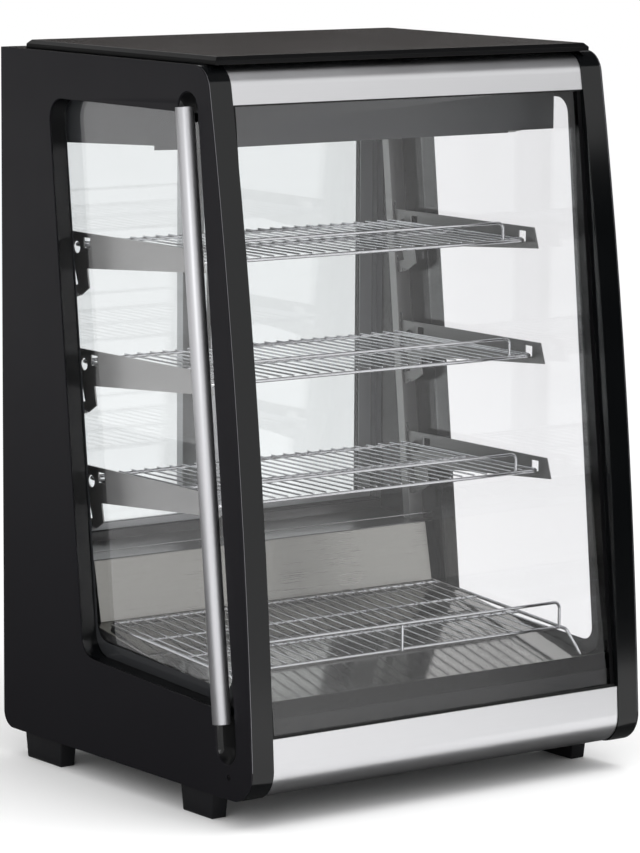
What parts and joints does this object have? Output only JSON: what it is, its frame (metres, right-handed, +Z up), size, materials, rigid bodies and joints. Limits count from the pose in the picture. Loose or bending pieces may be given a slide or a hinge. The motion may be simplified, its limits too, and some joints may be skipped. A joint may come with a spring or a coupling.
{
  "type": "refrigerated display counter",
  "caption": "Countertop refrigerated display case with leaning glass front, side windows with corner tubes, hooked wire shelves and sliding rear doors.",
  "frame": {"origin": "on the standing surface, under the middle of the case's box", "axes": "+Z up, front glass towards -Y, sliding doors towards +Y, +X to the right seen from the front"},
  "size_m": [0.6534, 0.5659, 0.9465],
  "materials": {
    "dark_panel": "satin black powder coat",
    "black_moulding": "fine-grained black moulding",
    "glass": "clear toughened glass",
    "brushed_aluminium": "fine brushed, anodised",
    "lid": "gloss black",
    "grey_sheet": "satin dark grey",
    "lamp_cover": "frosted",
    "lamp_board": "white board",
    "rubber": "black rubber",
    "zinc_sheet": "zinc-coated",
    "foam": "dark skinned foam",
    "stainless": "bright stainless sheet",
    "chrome_wire": "bright plated wire",
    "door_aluminium": "satin grey anodised",
    "compressor_black": "black enamel",
    "fins": "bare fins",
    "copper": "bare copper",
    "control_plastic": "textured",
    "button_grey": "soft grey",
    "rocker_black": "gloss",
    "screw": "plated"
  },
  "bodies": {
    "cabinet": {"side_cover_left": "dark_panel", "side_cover_right": "dark_panel", "side_frame_left": "black_moulding", "side_frame_right": "black_moulding", "side_glass_left": "glass", "side_glass_right": "glass", "corner_tube_left": "brushed_aluminium", "corner_tube_right": "brushed_aluminium", "tube_holders": "black_moulding", "lid_panel": "lid", "ceiling_box": "grey_sheet", "lamp_cover": "lamp_cover", "lamp_strip": "lamp_board", "top_trim": "brushed_aluminium", "bottom_trim": "brushed_aluminium", "front_glass": "glass", "front_glass_seals": "rubber", "fixing_rails": "dark_panel", "base_pan": "zinc_sheet", "floor_insulation": "foam", "floor_deck": "stainless", "duct_panel": "stainless", "ledge_panel": "stainless", "rear_header": "dark_panel", "rear_sill": "dark_panel", "door_jambs": "grey_sheet", "rear_cover": "dark_panel", "upright_left": "stainless", "upright_right": "stainless", "brackets_top": "stainless", "brackets_middle": "stainless", "brackets_bottom": "stainless", "wire_shelf_top": "chrome_wire", "wire_shelf_middle": "chrome_wire", "wire_shelf_bottom": "chrome_wire", "bottom_rack": "chrome_wire", "compressor": "compressor_black", "condenser": "fins", "condenser_fan_housing": "control_plastic", "evaporator": "fins", "blower_housing": "zinc_sheet", "refrigerant_pipes": "copper", "controller": "control_plastic", "switch_housings": "control_plastic", "feet": "black_moulding", "cord_gland": "rubber", "screws": "screw"},
    "door_left": {"door_left_frame": "door_aluminium", "door_left_panes": "glass", "door_left_pull": "control_plastic"},
    "door_right": {"door_right_frame": "door_aluminium", "door_right_panes": "glass", "door_right_pull": "control_plastic"},
    "condenser_fan": {"condenser_fan_rotor": "control_plastic"},
    "blower": {"blower_rotor": "zinc_sheet"},
    "set_button": {"button_set": "button_grey"},
    "up_button": {"button_up": "button_grey"},
    "down_button": {"button_down": "button_grey"},
    "power_switch": {"power_rocker": "rocker_black"},
    "light_switch": {"light_rocker": "rocker_black"}
  },
  "joints": [
    {"name": "door_left_slide", "type": "slide", "parent": "cabinet", "child": "door_left", "axis": [1, 0, 0], "range_m": [0, 0.246]},
    {"name": "door_right_slide", "type": "slide", "parent": "cabinet", "child": "door_right", "axis": [-1, 0, 0], "range_m": [0, 0.246]},
    {"name": "condenser_fan_spin", "type": "hinge", "parent": "cabinet", "child": "condenser_fan", "pos_m": [-0.15, 0.22267, 0.0958], "axis": [0, 1, 0], "continuous": true},
    {"name": "blower_spin", "type": "hinge", "parent": "cabinet", "child": "blower", "pos_m": [0, 0.14767, 0.2233], "axis": [1, 0, 0], "continuous": true},
    {"name": "set_press", "type": "slide", "parent": "cabinet", "child": "set_button", "axis": [0, -1, 0], "range_m": [0, 0.0008], "stiffness_N_per_m": 400, "springref_m": -0.0004},
    {"name": "up_press", "type": "slide", "parent": "cabinet", "child": "up_button", "axis": [0, -1, 0], "range_m": [0, 0.0008], "stiffness_N_per_m": 400, "springref_m": -0.0004},
    {"name": "down_press", "type": "slide", "parent": "cabinet", "child": "down_button", "axis": [0, -1, 0], "range_m": [0, 0.0008], "stiffness_N_per_m": 400, "springref_m": -0.0004},
    {"name": "power_rock", "type": "hinge", "parent": "cabinet", "child": "power_switch", "pos_m": [0.04, 0.27097, 0.229], "axis": [1, 0, 0], "range_deg": [-8, 8]},
    {"name": "light_rock", "type": "hinge", "parent": "cabinet", "child": "light_switch", "pos_m": [0.075, 0.27097, 0.229], "axis": [1, 0, 0], "range_deg": [-8, 8]}
  ]
}
